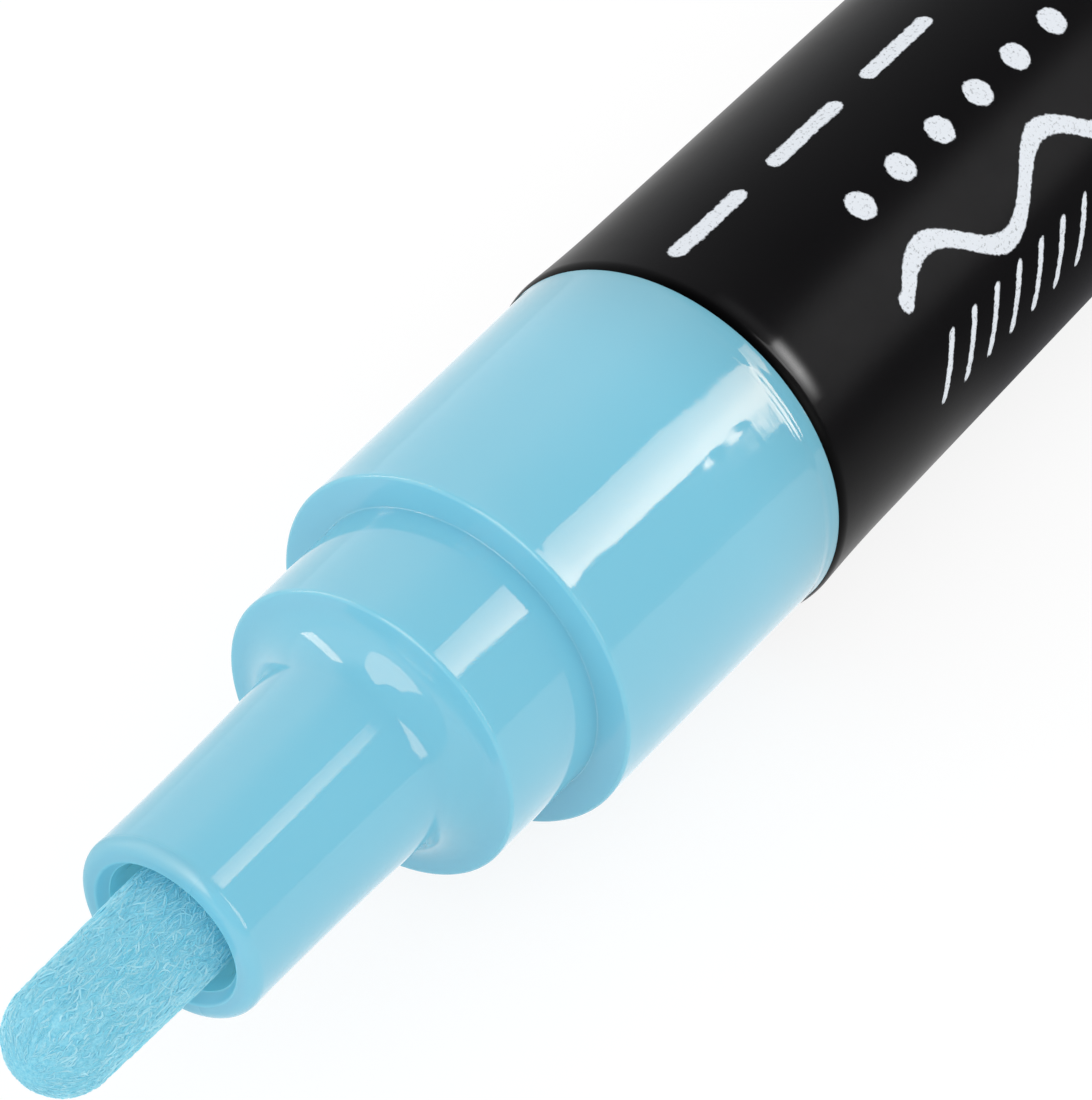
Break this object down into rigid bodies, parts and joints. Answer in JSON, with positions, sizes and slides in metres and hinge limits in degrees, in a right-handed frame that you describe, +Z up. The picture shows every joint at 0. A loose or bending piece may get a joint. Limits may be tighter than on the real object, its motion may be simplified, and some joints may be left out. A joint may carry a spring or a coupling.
{
  "type": "liquid chalk marker",
  "caption": "Valve-action liquid chalk marker with a stepped coloured nozzle, bullet fibre nib, black barrel, sprung ink valve, mixing ball and a cap posted on the tail.",
  "frame": {"origin": "on the marker's axis at the middle of the barrel, where a holder grips it", "axes": "+X along the axis from the nib to the cap, +Z up with the marker lying on its side"},
  "size_m": [0.1579, 0.0164, 0.0164],
  "materials": {
    "black_plastic": "satin black",
    "blue_plastic": "glossy pastel sky blue",
    "nib_fibre": "bonded fibre soaked in blue ink",
    "valve_plastic": "natural white moulding",
    "spring_steel": "drawn stainless wire",
    "ball_steel": "polished stainless",
    "liner_plastic": "translucent white moulding"
  },
  "bodies": {
    "marker": {"barrel": "black_plastic", "front_section": "blue_plastic", "valve_seat": "valve_plastic", "valve_spring": "spring_steel", "spring_retainer": "valve_plastic", "tail_plug": "blue_plastic"},
    "nib": {"nib": "nib_fibre"},
    "plunger": {"valve_plunger": "valve_plastic"},
    "ball": {"mixing_ball": "ball_steel"},
    "cap": {"cap_shell": "blue_plastic", "cap_liner": "liner_plastic"}
  },
  "joints": [
    {"name": "nib_press", "type": "slide", "parent": "marker", "child": "nib", "axis": [1, 0, 0], "range_m": [0, 0.0025], "stiffness_N_per_m": 600, "springref_m": -0.0025},
    {"name": "plunger_lift", "type": "slide", "parent": "marker", "child": "plunger", "axis": [1, 0, 0], "range_m": [0, 0.0025], "deforming": ["valve_spring"]},
    {"name": "ball_roll", "type": "slide", "parent": "marker", "child": "ball", "axis": [1, 0, 0], "range_m": [-0.028, 0.0327]},
    {"name": "cap_pull", "type": "slide", "parent": "marker", "child": "cap", "axis": [1, 0, 0], "range_m": [0, 0.03]}
  ],
  "couplings": [
    {"joint": "plunger_lift", "follows": "nib_press", "ratio": 1}
  ]
}
